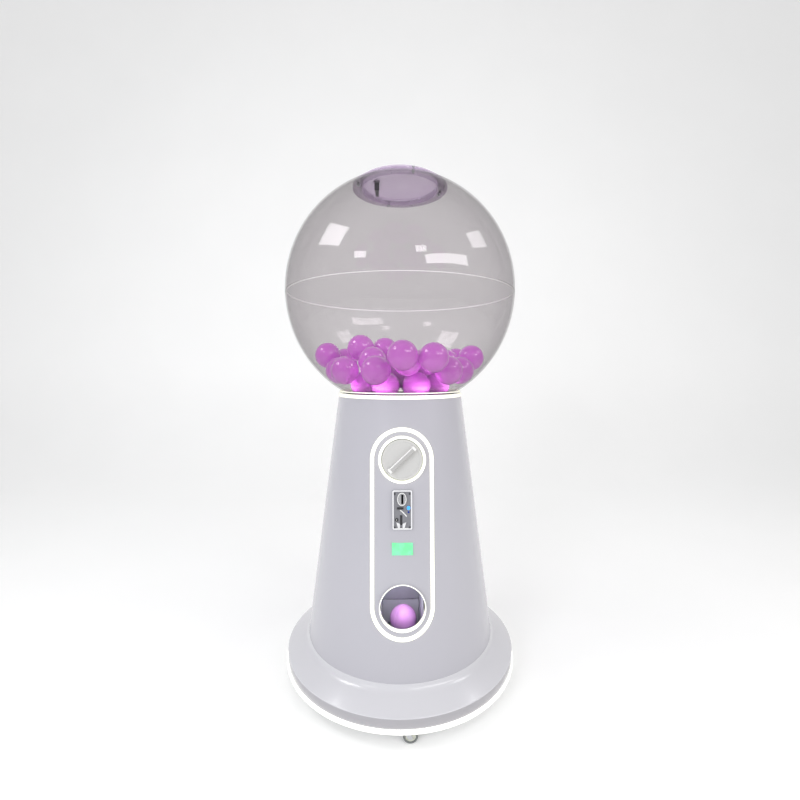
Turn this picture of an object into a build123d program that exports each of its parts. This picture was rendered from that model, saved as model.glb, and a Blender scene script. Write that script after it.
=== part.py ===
from build123d import *
import os
from math import asin, atan, cos, degrees, dist, hypot, radians, sin, sqrt, tan

# Capsule toy vendor: a round plinth on four casters, a conical body that holds the coin works,
# and a clear globe of capsules on top. Millimetres, origin on the floor under the axis,
# +Z up, the customer's side faces -Y.

# ---- Plinth ----
floor_gap = 52.0              # floor to the underside of the plinth's light ring
base_light_radius = 445.0
base_light_width = 12.0
base_light_height = 20.5
plinth_radius = 440.4         # widest point of the painted skirt
plinth_nose_z = 103.4
plinth_top_z = 141.9
plinth_wall = 3.0
plinth_lip = 40.0             # width of the skirt's top lip
plinth_foot_lip = 14.0        # width of the lip that sits on the base plate
base_plate_thickness = 4.0

# ---- Conical body ----
body_bottom_radius = 362.3
body_top_radius = 233.6
body_top_z = 1067.0
body_wall = 3.0
body_lip_thickness = 4.0
body_lip_inner_radius = 204.0

# ---- Globe ----
globe_radius = 420.0
globe_wall = 5.0
globe_foot_radius = 185.3     # where the ball would meet the body's top
neck_ring_height = 21.2
neck_ring_gap = 0.5
globe_flange_radius = 223.0
globe_flange_thickness = 5.0
seal_thickness = 3.0
drum_flange_thickness = 3.0
seam_strip_height = 20.0
seam_strip_thickness = 3.0
collar_outer_radius = 174.0
collar_neck_radius = 140.0
collar_thickness = 4.0
collar_rise = 5.0             # rim above the edge of the globe's hole
collar_drop = 18.0            # lower edge below it
lid_thickness = 4.0
lid_overhang = 6.0
lid_hinge_offset = 16.0       # from the lid's edge to the hinge axis

# ---- Capsules and dispensing drum ----
capsule_diameter = 100.0
capsule_wall = 1.6
drum_inner_radius = 198.0
drum_wall = 3.0
drum_headroom = 17.0          # from a loaded capsule's top to the body's top, less the floor
drum_floor_thickness = 4.0
wheel_vanes = 6
wheel_side_gap = 4.0
wheel_height = 80.0
wheel_hub_radius = 45.0
vane_thickness = 6.0
wheel_floor_gap = 2.0
pocket_side_gap = 11.0        # from a capsule to the drum's wall
wheel_shaft_radius = 8.0
motor_radius = 36.0
motor_height = 84.0
chute_play = 12.0             # square duct, wider than a capsule
sheet = 2.0                   # folded sheet metal
running_gap = 0.06            # radial, shaft in its bearing
part_gap = 0.5                # between pieces that move past one another

# ---- Front panel, laid out up the front of the cone ----
knob_below_top = 196.9        # these three hang from the body's top
coin_plate_below_top = 358.8
display_below_top = 485.1
outlet_above_bottom = 250.6   # and this one stands on its bottom
loop_gap = 12.8               # from the lit rings to the loop
loop_width = 15.8
loop_height = 6.0
ring_outer_radius = 79.0
ring_depth = 18.0             # behind the cone's front
knob_ring_width = 12.0
knob_ring_height = 7.0
knob_disc_gap = 1.0
knob_disc_height = 3.0
knob_disc_thickness = 12.0
knob_bar_inset = 7.0          # from the disc's edge to the bar's end
knob_bar_width = 12.0
knob_bar_height = 20.0
knob_bar_angle = 43.0
knob_shaft_radius = 6.0
knob_bush_length = 24.0
coin_plate_width = 64.0
coin_plate_height = 127.0
coin_plate_seat = 1.8         # how deep the plate is let into the cone
coin_plate_face = 3.5
coin_plate_rim = 3.5
coin_selector_depth = 62.0
coin_slot_width = 6.0
coin_slot_height = 31.0
coin_slot_y = 35.0
display_width = 69.0
display_height = 40.0
outlet_ring_width = 5.2
outlet_ring_height = 6.0
bin_width = 140.0
bin_floor_above_bottom = 57.1
bin_back_y = -92.0
bin_mouth_play = 8.0          # mouth of the ramp, higher than a capsule
ramp_angle = 22.0

# ---- Service door, lock and casters ----
door_sill = 98.1              # above the body's bottom
door_head = 207.0             # below the body's top
door_half_angle = 30.0
door_gap_angle = 0.4
door_hinge_height = 7.0       # hinge axis above the painted surface
hinge_leaf_thickness = 2.0
hinge_barrel_radius = 4.5
hinge_pin_radius = 2.0
hinge_length = 60.0
lock_radius = 9.0
caster_wheel_radius = 24.0
caster_wheel_width = 20.0
caster_trail = 22.0
caster_pitch_radius = 409.0
anchor_hole_radius = 6.0
anchor_spacing = 400.0

# ---- Places that follow from the sizes above ----
base_light_top_z = floor_gap + base_light_height
body_bottom_z = plinth_top_z
cone_angle = degrees(atan((body_bottom_radius - body_top_radius) / (body_top_z - body_bottom_z)))
globe_z = body_top_z + sqrt(globe_radius ** 2 - globe_foot_radius ** 2)
flange_z = body_top_z + drum_flange_thickness + seal_thickness
drum_floor_z = body_top_z - capsule_diameter - drum_headroom
drum_top_z = drum_floor_z + drum_floor_thickness
wheel_z = drum_top_z + wheel_floor_gap
wheel_radius = drum_inner_radius - wheel_side_gap
capsule_radius = capsule_diameter / 2
pocket_pitch_radius = drum_inner_radius - pocket_side_gap - capsule_radius
chute_bore = capsule_diameter + chute_play
chute_width = chute_bore + 2 * sheet
globe_hole_z = globe_z + sqrt(globe_radius ** 2 - collar_neck_radius ** 2)
lid_radius = collar_neck_radius + lid_overhang
lid_z = globe_hole_z + collar_rise
collar_bottom_z = globe_hole_z - collar_drop
knob_z = body_top_z - knob_below_top
coin_plate_z = body_top_z - coin_plate_below_top
display_z = body_top_z - display_below_top
outlet_z = body_bottom_z + outlet_above_bottom
knob_ring_inner_radius = ring_outer_radius - knob_ring_width
knob_disc_radius = knob_ring_inner_radius - knob_disc_gap
knob_bar_length = 2 * (knob_disc_radius - knob_bar_inset)
outlet_ring_inner_radius = ring_outer_radius - outlet_ring_width
loop_outer_radius = ring_outer_radius + loop_gap + loop_width
bin_floor_z = body_bottom_z + bin_floor_above_bottom
bin_mouth_height = capsule_diameter + bin_mouth_play
door_bottom_z = body_bottom_z + door_sill
door_top_z = body_top_z - door_head
flange_screw_pitch = globe_flange_radius - 5.0
flange_screw_radius = 2.5


def cone_radius(z, offset=0.0):
    """Radius of the cone's painted surface at height z, moved outwards by offset along its normal."""
    return body_bottom_radius - (z - body_bottom_z) * tan(radians(cone_angle)) + offset / cos(radians(cone_angle))


def turned(*outline):
    """Solid of revolution about the Z axis of a closed outline of (radius, height) points."""
    return revolve(make_face(Plane.XZ * Polyline(*outline, close=True)), Axis.Z)


def cone_layer(inner, outer, low_z, high_z):
    """Conical skin between two offsets from the painted surface."""
    return turned(
        (cone_radius(low_z, inner), low_z), (cone_radius(low_z, outer), low_z),
        (cone_radius(high_z, outer), high_z), (cone_radius(high_z, inner), high_z),
    )


def sphere_layer(inner, outer, hole_radius, limit_radius):
    """Band of a spherical skin on top of the globe, between two upright cylinders."""
    skin = Pos(0, 0, globe_z) * (Sphere(outer) - Sphere(inner))
    band = Cylinder(limit_radius, 2 * outer, align=(Align.CENTER, Align.CENTER, Align.MIN))
    hole = Cylinder(hole_radius, 2 * outer, align=(Align.CENTER, Align.CENTER, Align.MIN))
    return skin & (Pos(0, 0, globe_z) * (band - hole))


def cone_plane(z, azimuth=0.0):
    """Plane tangent to the cone, azimuth degrees round from the front towards +X.

    Its Z axis points out of the cone and its Y axis runs up the cone.
    """
    turn = radians(azimuth)
    lean = radians(cone_angle)
    normal = Vector(cos(lean) * sin(turn), -cos(lean) * cos(turn), sin(lean))
    along = Vector(cos(turn), sin(turn), 0)
    foot = Vector(cone_radius(z) * sin(turn), -cone_radius(z) * cos(turn), z)
    return Plane(origin=foot, x_dir=along, z_dir=normal)


def block(x0, x1, y0, y1, z0, z1):
    """Box between two corners."""
    return Pos((x0 + x1) / 2, (y0 + y1) / 2, (z0 + z1) / 2) * Box(x1 - x0, y1 - y0, z1 - z0)


def disc(radius, z0, z1, x=0.0, y=0.0):
    """Upright cylinder between two heights."""
    return Pos(x, y, (z0 + z1) / 2) * Cylinder(radius, z1 - z0)


def tube(outer, inner, z0, z1, x=0.0, y=0.0):
    """Upright tube between two heights."""
    return disc(outer, z0, z1, x, y) - disc(inner, z0, z1, x, y)


def around(count, shape, first=0.0):
    """The same piece, count times around the Z axis, as separate solids."""
    return [Rot(0, 0, first + 360 / count * i) * shape for i in range(count)]


def sector(half_angle, low_z, high_z):
    """Wedge of space behind the axis, between two planes through it."""
    reach = 1.6 * body_bottom_radius
    side = reach * tan(radians(half_angle))
    outline = make_face(Polyline((0, 0), (side, reach), (-side, reach), close=True))
    return Pos(0, 0, low_z) * extrude(outline, high_z - low_z)


def screw_holes(shape):
    """Holes for the ring of globe screws."""
    for hole in around(8, disc(flange_screw_radius, body_top_z - 9, flange_z + 9, flange_screw_pitch), 22.5):
        shape -= hole
    return shape


def flat(path_points):
    """Closed outline in the plane x = 0, given as (y, z) points."""
    return make_face(Plane.YZ * Polyline(*path_points, close=True))


def write(name, *solids):
    """One STEP file for one node; several solids make a group."""
    pieces = [solid for shape in solids for solid in shape.solids()]
    shape = pieces[0] if len(pieces) == 1 else Compound(children=pieces)
    shape.label = name
    export_step(shape, f"parts/{name}.step")


os.makedirs("parts", exist_ok=True)

# ---- Plinth, base plate and light ring ----
skirt_side = plinth_radius - plinth_wall
skirt_top = body_bottom_radius
write("plinth_shell", turned(
    (plinth_radius, base_light_top_z), (plinth_radius, plinth_nose_z), (skirt_top, plinth_top_z),
    (skirt_top - plinth_lip, plinth_top_z), (skirt_top - plinth_lip, plinth_top_z - plinth_wall),
    (skirt_top - 2 * plinth_wall, plinth_top_z - plinth_wall), (skirt_side, plinth_nose_z - plinth_wall),
    (skirt_side, base_light_top_z + base_plate_thickness + plinth_wall),
    (skirt_side - plinth_foot_lip, base_light_top_z + base_plate_thickness + plinth_wall),
    (skirt_side - plinth_foot_lip, base_light_top_z + base_plate_thickness),
    (skirt_side, base_light_top_z + base_plate_thickness), (skirt_side, base_light_top_z),
))
write("base_light_ring", tube(
    base_light_radius, base_light_radius - base_light_width, floor_gap, base_light_top_z))

caster_spots = [(caster_pitch_radius * cos(radians(a)), caster_pitch_radius * sin(radians(a)))
                for a in (0, 90, 180, 270)]
base_plate = disc(skirt_side, base_light_top_z, base_light_top_z + base_plate_thickness)
stem_radius = 6.0
for x, y in caster_spots:
    base_plate -= disc(stem_radius, 0, 2 * plinth_top_z, x, y)
for x in (-anchor_spacing / 2, anchor_spacing / 2):
    for y in (-anchor_spacing / 2, anchor_spacing / 2):
        base_plate -= disc(anchor_hole_radius, 0, 2 * plinth_top_z, x, y)
write("base_plate", base_plate)

# ---- Casters: a threaded stem and ball race, a swivelling fork with its axle, a wheel ----
race_radius, race_bottom_z = 16.0, floor_gap + 5.0
fork_gap = 1.0
fork_wall = 2.5
axle_radius = 4.0
kingpin_radius = 4.0
fork_inside = caster_wheel_width / 2 + fork_gap
fork_top_z = race_bottom_z - part_gap
wheel_centre = (caster_trail, -caster_pitch_radius, caster_wheel_radius)
race = (disc(race_radius, race_bottom_z, base_light_top_z) + disc(stem_radius, base_light_top_z, base_light_top_z + 14)
        + disc(kingpin_radius, fork_top_z - fork_wall - 1.0, race_bottom_z))
nut = tube(11, stem_radius, base_light_top_z + base_plate_thickness, base_light_top_z + 12)
write("caster_mounts", *around(4, Pos(0, -caster_pitch_radius, 0) * race),
      *around(4, Pos(0, -caster_pitch_radius, 0) * nut))

crown = tube(14.0, kingpin_radius + running_gap, fork_top_z - fork_wall, fork_top_z)
cheek_outline = make_face(Plane.XZ * Polyline(
    (-10, fork_top_z), (10, fork_top_z), (caster_trail + 8, caster_wheel_radius - 2),
    (caster_trail + 3, caster_wheel_radius - 8), (caster_trail - 7, caster_wheel_radius - 5), close=True))
cheek = extrude(cheek_outline, fork_wall / 2, both=True)
axle = Plane.XZ * Pos(caster_trail, caster_wheel_radius, 0) * Cylinder(axle_radius, 2 * (fork_inside + fork_wall))
axle_hole = Plane.XZ * Pos(caster_trail, caster_wheel_radius, 0) * Cylinder(axle_radius, 80)
fork = crown
for side in (-1, 1):
    fork += Pos(0, side * (fork_inside + fork_wall / 2), 0) * cheek - axle_hole
    fork += block(-8, 8, min(side * fork_inside, side * 8), max(side * fork_inside, side * 8),
                  fork_top_z - fork_wall, fork_top_z)
tread = Pos(caster_trail, 0, caster_wheel_radius) * Rot(90, 0, 0) * Cylinder(caster_wheel_radius, caster_wheel_width)
tread = fillet(tread.edges().filter_by(GeomType.CIRCLE), 3.0)
wheel_bore = Pos(caster_trail, 0, caster_wheel_radius) * Rot(90, 0, 0) * Cylinder(axle_radius + running_gap, 80)
for i, side in enumerate(("front", "right", "rear", "left")):
    place = Rot(0, 0, 90 * i) * Pos(0, -caster_pitch_radius, 0)
    write(f"caster_fork_{side}", place * fork, place * axle)
    write(f"caster_wheel_{side}", place * (tread - wheel_bore))

# ---- Body shell ----
body = turned(
    (cone_radius(body_bottom_z), body_bottom_z), (cone_radius(body_top_z), body_top_z),
    (body_lip_inner_radius, body_top_z), (body_lip_inner_radius, body_top_z - body_lip_thickness),
    (cone_radius(body_top_z - body_lip_thickness, -body_wall), body_top_z - body_lip_thickness),
    (cone_radius(body_bottom_z + body_wall, -body_wall), body_bottom_z + body_wall),
    (cone_radius(body_bottom_z) - plinth_lip / 2, body_bottom_z + body_wall),
    (cone_radius(body_bottom_z) - plinth_lip / 2, body_bottom_z),
)
doorway = sector(door_half_angle, door_bottom_z, door_top_z)
stop_width = 12.0
stop_angle = degrees(stop_width / body_top_radius)
door_stop = cone_layer(-2 * body_wall, -body_wall, door_bottom_z - stop_width, door_top_z + stop_width) \
    & sector(door_half_angle + stop_angle, door_bottom_z - stop_width, door_top_z + stop_width)
door_stop -= sector(door_half_angle - stop_angle, door_bottom_z + stop_width, door_top_z - stop_width)
body = body - doorway + door_stop
for z in (knob_z, outlet_z):
    body -= cone_plane(z) * Cylinder(ring_outer_radius, 120)
plate_plane = cone_plane(coin_plate_z)
body -= plate_plane * block(-coin_plate_width / 2, coin_plate_width / 2, -coin_plate_height / 2,
                            coin_plate_height / 2, -coin_plate_seat, 30)
body -= plate_plane * block(3 - coin_plate_width / 2, coin_plate_width / 2 - 3, 3 - coin_plate_height / 2,
                            coin_plate_height / 2 - 3, -30, 30)
display_plane = cone_plane(display_z)
body -= display_plane * block(
    -display_width / 2, display_width / 2, -display_height / 2, display_height / 2, -30, 30)
inlet_plane = cone_plane((body_bottom_z + door_bottom_z) / 2, 180)
body -= inlet_plane * block(-14, 14, -10, 10, -30, 30)
write("body_shell", screw_holes(body))

# ---- Light loop that runs round the whole front panel ----
loop_plane = cone_plane((knob_z + outlet_z) / 2)
half_run = (knob_z - outlet_z) / 2 / cos(radians(cone_angle))


def obround(radius):
    """Upright slot outline, as wide as two radii, round the knob and the outlet."""
    return make_face(loop_plane * SlotOverall(2 * (half_run + radius), 2 * radius, rotation=90).wire())


loop_prism = extrude(obround(loop_outer_radius), 60, both=True)
loop_prism -= extrude(obround(loop_outer_radius - loop_width), 70, both=True)
loop_skin = cone_layer(0, loop_height, outlet_z - 2 * loop_outer_radius, knob_z + 2 * loop_outer_radius)
write("panel_light_loop", loop_skin & loop_prism)

# ---- Knob: lit ring, mounting plate with its bush, disc, bar and shaft ----
knob_plane = cone_plane(knob_z)
write("knob_light_ring", knob_plane * tube(
    ring_outer_radius, knob_ring_inner_radius, -ring_depth, knob_ring_height))
plate_back = -ring_depth - sheet
write("knob_mount", knob_plane * (
    disc(ring_outer_radius, plate_back, -ring_depth) + disc(14, plate_back - knob_bush_length, plate_back)
    - disc(knob_shaft_radius + running_gap, -90, 0)))
disc_back = knob_disc_height - knob_disc_thickness
shaft_socket = 6.0
write("knob_disc", knob_plane * (
    disc(knob_disc_radius, disc_back, knob_disc_height)
    - disc(knob_shaft_radius, disc_back - 1, disc_back + shaft_socket)))
write("knob_bar", knob_plane * Rot(0, 0, knob_bar_angle) * block(
    -knob_bar_length / 2, knob_bar_length / 2, -knob_bar_width / 2, knob_bar_width / 2,
    knob_disc_height, knob_disc_height + knob_bar_height))
shaft_end = plate_back - knob_bush_length - 12
trip_cam = block(0, 14, -4, 4, shaft_end, shaft_end + 8)
write("knob_shaft", knob_plane * (disc(knob_shaft_radius, shaft_end, disc_back + shaft_socket) + trip_cam))
switch_height = 14.0 + 1.5
switch = block(-14, 14, switch_height, switch_height + 16, shaft_end - 2, shaft_end + 9)
switch_arm = block(-14, 14, switch_height, switch_height + 16, shaft_end + 9, plate_back)
write("knob_switch", knob_plane * switch, knob_plane * switch_arm)

# ---- Coin unit: face plate, entry bezel, selector, reject button, lamp and return scoop ----
half_w, half_h = coin_plate_width / 2, coin_plate_height / 2
coin_slot = block(-coin_slot_width / 2, coin_slot_width / 2, coin_slot_y - coin_slot_height / 2,
                  coin_slot_y + coin_slot_height / 2, -45, 40)
return_slot = block(-6.7, -0.7, -48, -18, -25, 40)
button_width, button_height, button_x, button_y = 20.0, 5.0, -7.0, 5.0
button_travel = 2.5
button_hole = block(button_x - button_width / 2 - part_gap, button_x + button_width / 2 + part_gap,
                    button_y - button_height / 2 - part_gap, button_y + button_height / 2 + part_gap, -20, 40)
lamp_width, lamp_height, lamp_x, lamp_y = 12.0, 16.0, 20.5, 5.7
lamp_hole = block(lamp_x - lamp_width / 2, lamp_x + lamp_width / 2, lamp_y - lamp_height / 2,
                  lamp_y + lamp_height / 2, -coin_plate_seat, 40)
plate = block(-half_w, half_w, -half_h, half_h, -coin_plate_seat, coin_plate_face + coin_plate_rim / 2)
plate -= block(coin_plate_rim - half_w, half_w - coin_plate_rim, coin_plate_rim - half_h,
               half_h - coin_plate_rim, coin_plate_face, 40)
screw_radius, screw_head_radius = 2.0, 3.3
screw_spots = [(x, y) for x in (-25.0, 25.0) for y in (-56.5, 52.0)]
for x, y in screw_spots:
    plate -= disc(screw_radius, -40, 40, x, y)
plate = plate - coin_slot - return_slot - button_hole - lamp_hole
write("coin_plate", plate_plane * plate)
write("coin_plate_screws", *[plate_plane * (
    disc(screw_head_radius, coin_plate_face, coin_plate_face + 1.6, x, y)
    + disc(screw_radius, -coin_plate_seat - 6, coin_plate_face, x, y)) for x, y in screw_spots])
bezel = Pos(-1.4, coin_slot_y, 0) * extrude(Ellipse(15.5, 21.5), coin_plate_face + 5)
bezel -= block(-half_w, half_w, -half_h, half_h, -1, coin_plate_face)
write("coin_entry_bezel", plate_plane * (bezel - coin_slot))
selector = block(3.5 - half_w, half_w - 3.5, 3.5 - half_h, half_h - 3.5,
                 -coin_selector_depth, -coin_plate_seat)
selector = selector - coin_slot - return_slot - button_hole
for x, y in screw_spots:
    selector -= disc(screw_radius, -40, 40, x, y)
write("coin_selector", plate_plane * selector)
button_back = -14.0
write("reject_button", plate_plane * block(
    button_x - button_width / 2, button_x + button_width / 2, button_y - button_height / 2,
    button_y + button_height / 2, button_back, coin_plate_face + button_travel + 0.5))
write("coin_lamp_lens", plate_plane * block(
    lamp_x - lamp_width / 2, lamp_x + lamp_width / 2, lamp_y - lamp_height / 2, lamp_y + lamp_height / 2,
    -coin_plate_seat, coin_plate_face + 1.5))
wing = make_face(Polyline((-8, -44), (-20, -39), (-14, -59), (-8, -59), close=True))
wing = extrude(wing, coin_plate_face + 7) - block(-half_w, half_w, -half_h, half_h, -1, coin_plate_face)
write("coin_return_scoop", plate_plane * wing, plate_plane * Pos(-7.4, 0, 0) * wing.mirror(Plane.YZ))

# ---- Display ----
module_front = -body_wall - 4.0
write("display_lens", display_plane * block(
    -display_width / 2, display_width / 2, -display_height / 2, display_height / 2, module_front, 1.5))
write("display_module", display_plane * block(
    -display_width / 2 - 5, display_width / 2 + 5, -display_height / 2 - 6, display_height / 2 + 6,
    module_front - 14, module_front))

# ---- Outlet: lit trim ring, pocket, ramp and drop chute ----
outlet_plane = cone_plane(outlet_z)
write("outlet_ring", outlet_plane * tube(
    ring_outer_radius, outlet_ring_inner_radius, -ring_depth, outlet_ring_height))
bin_top_z = outlet_z + ring_outer_radius + 4
front_inset = ring_depth / cos(radians(cone_angle))


def pocket(grow):
    """Pocket behind the outlet ring, its front parallel to the cone."""
    low, high, back = bin_floor_z - grow, bin_top_z - sheet + grow, bin_back_y + grow
    inset = front_inset + sheet - grow
    outline = flat([
        (-cone_radius(low) + inset, low), (-cone_radius(high) + inset, high), (back, high), (back, low)])
    return extrude(outline, bin_width / 2 + grow, both=True)


mouth_top_z = bin_floor_z + bin_mouth_height
outlet_bin = pocket(sheet) - pocket(0) - outlet_plane * disc(outlet_ring_inner_radius, -40, 20)
outlet_bin -= block(-chute_bore / 2, chute_bore / 2, bin_back_y - 1, bin_back_y + 10, bin_floor_z, mouth_top_z)
write("outlet_bin", outlet_bin)

ramp_front_y = bin_back_y + sheet
chute_y = pocket_pitch_radius
chute_back_y = chute_y + chute_width / 2
ramp_rise = tan(radians(ramp_angle))
ramp_top_z = mouth_top_z + ramp_rise * (chute_y - chute_width / 2 - ramp_front_y) + 12


def ramp_space(grow):
    """Sloping space that a capsule rolls down, open to the pocket in front."""
    back = chute_back_y - sheet + grow
    knee = chute_y - chute_width / 2 + sheet - grow
    start = ramp_front_y - (0 if grow else 1)
    return extrude(flat([
        (start, bin_floor_z - grow), (back, bin_floor_z - grow + ramp_rise * (back - ramp_front_y)),
        (back, ramp_top_z + grow), (knee, ramp_top_z + grow), (start, mouth_top_z + grow)]),
        chute_bore / 2 + grow, both=True)


duct_top_z = ramp_top_z + sheet
chute_hole = block(
    -chute_bore / 2, chute_bore / 2, chute_y - chute_bore / 2, chute_y + chute_bore / 2, 0, drum_floor_z + 1)
ramp = ramp_space(sheet) - ramp_space(0)
write("capsule_ramp", ramp - (chute_hole & block(-99, 99, 0, 999, ramp_top_z - 1, duct_top_z + 1)))
chute = block(-chute_width / 2, chute_width / 2, chute_y - chute_width / 2, chute_y + chute_width / 2,
              duct_top_z, drum_floor_z)
write("drop_chute", chute - chute_hole)

# ---- Dispensing drum: drum, motor, vaned wheel, deflector and guard ----
exit_radius = capsule_radius + 5
drum = disc(drum_inner_radius + drum_wall, drum_floor_z, body_top_z + drum_flange_thickness)
drum += disc(globe_flange_radius, body_top_z, body_top_z + drum_flange_thickness)
drum -= disc(drum_inner_radius, drum_top_z, flange_z + 9)
drum -= disc(exit_radius, drum_floor_z - 1, drum_top_z + 1, 0, pocket_pitch_radius)
drum -= disc(wheel_shaft_radius + part_gap, drum_floor_z - 1, drum_top_z + 1)
write("hopper_drum", screw_holes(drum))

motor_socket = 20.0
write("gear_motor", disc(motor_radius, drum_floor_z - motor_height, drum_floor_z)
      - disc(wheel_shaft_radius + running_gap, drum_floor_z - motor_socket, drum_floor_z + 1))
wheel_top_z = wheel_z + wheel_height
write("wheel_shaft", disc(wheel_shaft_radius, drum_floor_z - motor_socket + part_gap, wheel_top_z))
wheel = disc(wheel_hub_radius, wheel_z, wheel_top_z)
vane = block(0, wheel_radius, -vane_thickness / 2, vane_thickness / 2, wheel_z, wheel_top_z)
for vane in around(wheel_vanes, vane):
    wheel += vane
write("dispense_wheel", wheel - disc(wheel_shaft_radius, wheel_z - 1, wheel_top_z + 1))
cap_top_z = wheel_top_z + 44.0
cap_tip_radius = 8.0
write("spreader_cap", turned(
    (0, wheel_top_z), (wheel_hub_radius, wheel_top_z), (cap_tip_radius, cap_top_z), (0, cap_top_z)))
guard_z = drum_top_z + capsule_diameter + 2
guard_sector = sector(180 / wheel_vanes + 2, guard_z, guard_z + sheet)
write("exit_guard", guard_sector & tube(drum_inner_radius, wheel_hub_radius + 12, guard_z, guard_z + sheet))

# ---- Capsules: thin hollow balls, some in the wheel, the rest heaped in the globe ----
ball = Sphere(capsule_radius) - Sphere(capsule_radius - capsule_wall)
pocket_z = drum_top_z + capsule_radius
write("loaded_capsules", *[Rot(0, 0, 30 + 60 * i) * Pos(pocket_pitch_radius, 0, pocket_z) * ball
                           for i in (0, 2, 3, 4, 5)])
ball_reach = globe_radius - globe_wall - capsule_radius


def wall_height(radius):
    """Height of a capsule that lies against the globe's wall, so far from the axis."""
    return globe_z - sqrt(ball_reach ** 2 - radius ** 2)


def fits(spot, others):
    """Whether a capsule here is clear of the globe, the cap, the loaded capsules and all the others."""
    x, y, z = spot
    off_axis = hypot(x, y)
    beside_cap = off_axis > wheel_hub_radius + capsule_radius
    return (off_axis < ball_reach and z > wall_height(off_axis) and z >= heap_floor_z
            and (beside_cap or z > cap_top_z + capsule_radius)
            and all(dist(spot, other) > capsule_diameter for other in others))


heap_floor_z = pocket_z + capsule_diameter + 4
heap_spots = []
first_ring = 144.0, [22.5 + 45 * i for i in range(8)]
second_ring = 232.0, (55, 81, 107, 186, 211, 248, 315, 341)
for ring_radius, turns in (first_ring, second_ring):
    height = max(wall_height(ring_radius) + 1, heap_floor_z)
    heap_spots += [(ring_radius * cos(radians(turn)), ring_radius * sin(radians(turn)), height) for turn in turns]
# Capsules that lie loose on top of the two rings, as they fell: x, y and height from the globe's centre,
# for a ball that can move this far from the centre.
loose_reach = 365.0
loose = [(-281, 49, -222), (-223, 140, -240), (-147, -36, -198), (-101, -112, -246), (-57, 11, -205),
         (1, -280, -233), (103, -254, -239), (236, 140, -239), (279, 34, -232), (0, 0, -298),
         (-120, 140, -250), (20, -180, -250), (180, 20, -250), (100, 100, -250), (0, 140, -250), (90, -90, -250)]
spread = ball_reach / loose_reach
heap_spots += [(x * spread, y * spread, globe_z + z * spread) for x, y, z in loose]
heap = []
for spot in heap_spots:
    if fits(spot, heap):
        heap.append(spot)
served = (8.0, bin_back_y - capsule_radius - 3, bin_floor_z + capsule_radius)
write("stock_capsules", *[Pos(*spot) * ball for spot in heap + [served]])

# ---- Globe ----
write("globe_seal", screw_holes(tube(globe_flange_radius, drum_inner_radius, body_top_z + drum_flange_thickness,
                                     flange_z)))
foot_z = flange_z - globe_z
foot_inner = sqrt((globe_radius - globe_wall) ** 2 - foot_z ** 2)
shell = Sphere(globe_radius) - Sphere(globe_radius - globe_wall)
lower = Pos(0, 0, globe_z) * shell & block(-999, 999, -999, 999, flange_z, globe_z)
lower += tube(globe_flange_radius, foot_inner + 2, flange_z, flange_z + globe_flange_thickness) \
    - Pos(0, 0, globe_z) * Sphere(globe_radius - globe_wall)
write("lower_globe", screw_holes(lower))
upper = Pos(0, 0, globe_z) * shell & block(-999, 999, -999, 999, globe_z, globe_z + 999)
bolt_lean = degrees(asin((collar_neck_radius + collar_outer_radius) / 2 / globe_radius))
bolt_radius = 3.0
bolt_shank = Pos(0, 0, globe_z) * Rot(0, bolt_lean, 0) * disc(bolt_radius, globe_radius - 14, globe_radius + 8)
bolt_head = Pos(0, 0, globe_z) * Rot(0, bolt_lean, 0) * disc(
    6.0, globe_radius + collar_thickness, globe_radius + collar_thickness + 4)
bolt_nut = Pos(0, 0, globe_z) * Rot(0, bolt_lean, 0) * tube(
    7.0, bolt_radius, globe_radius - globe_wall - 5, globe_radius - globe_wall - 0.1)
upper -= disc(collar_neck_radius, globe_z, globe_z + 999)
collar = sphere_layer(globe_radius, globe_radius + collar_thickness, collar_neck_radius - 1, collar_outer_radius)
collar += tube(collar_neck_radius, collar_neck_radius - collar_thickness,
               collar_bottom_z, lid_z)
for shank in around(4, bolt_shank, 15):
    upper -= shank
    collar -= shank
write("upper_globe", upper)
write("filler_collar", collar)
globe_screw = disc(flange_screw_radius, body_top_z - 8, flange_z + globe_flange_thickness, flange_screw_pitch) \
    + disc(4.0, flange_z + globe_flange_thickness, flange_z + globe_flange_thickness + 3.5, flange_screw_pitch)
shell_bolt = bolt_shank + bolt_head
write("globe_screws", *around(8, globe_screw, 22.5), *around(4, shell_bolt, 15), *around(4, bolt_nut, 15))
strip_outer = sqrt((globe_radius - globe_wall) ** 2 - (seam_strip_height / 2) ** 2)
write("globe_seam_strip", tube(strip_outer, strip_outer - seam_strip_thickness,
                               globe_z - seam_strip_height / 2, globe_z + seam_strip_height / 2))
ring_inner = neck_ring_gap + max(
    globe_flange_radius, sqrt(globe_radius ** 2 - (globe_z - body_top_z - neck_ring_height) ** 2))
write("neck_light_ring", tube(body_top_radius, ring_inner, body_top_z, body_top_z + neck_ring_height))

# ---- Filler lid, its hinge and cam lock ----
hinge_x = lid_radius + lid_hinge_offset
hinge_z = lid_z + lid_thickness / 2
pin_radius, barrel_radius, knuckle = 2.5, 5.0, 18.0


def across(radius, y0, y1):
    """Cylinder along Y on the lid's hinge axis."""
    return Pos(hinge_x, (y0 + y1) / 2, hinge_z) * Rot(90, 0, 0) * Cylinder(radius, y1 - y0)


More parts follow.
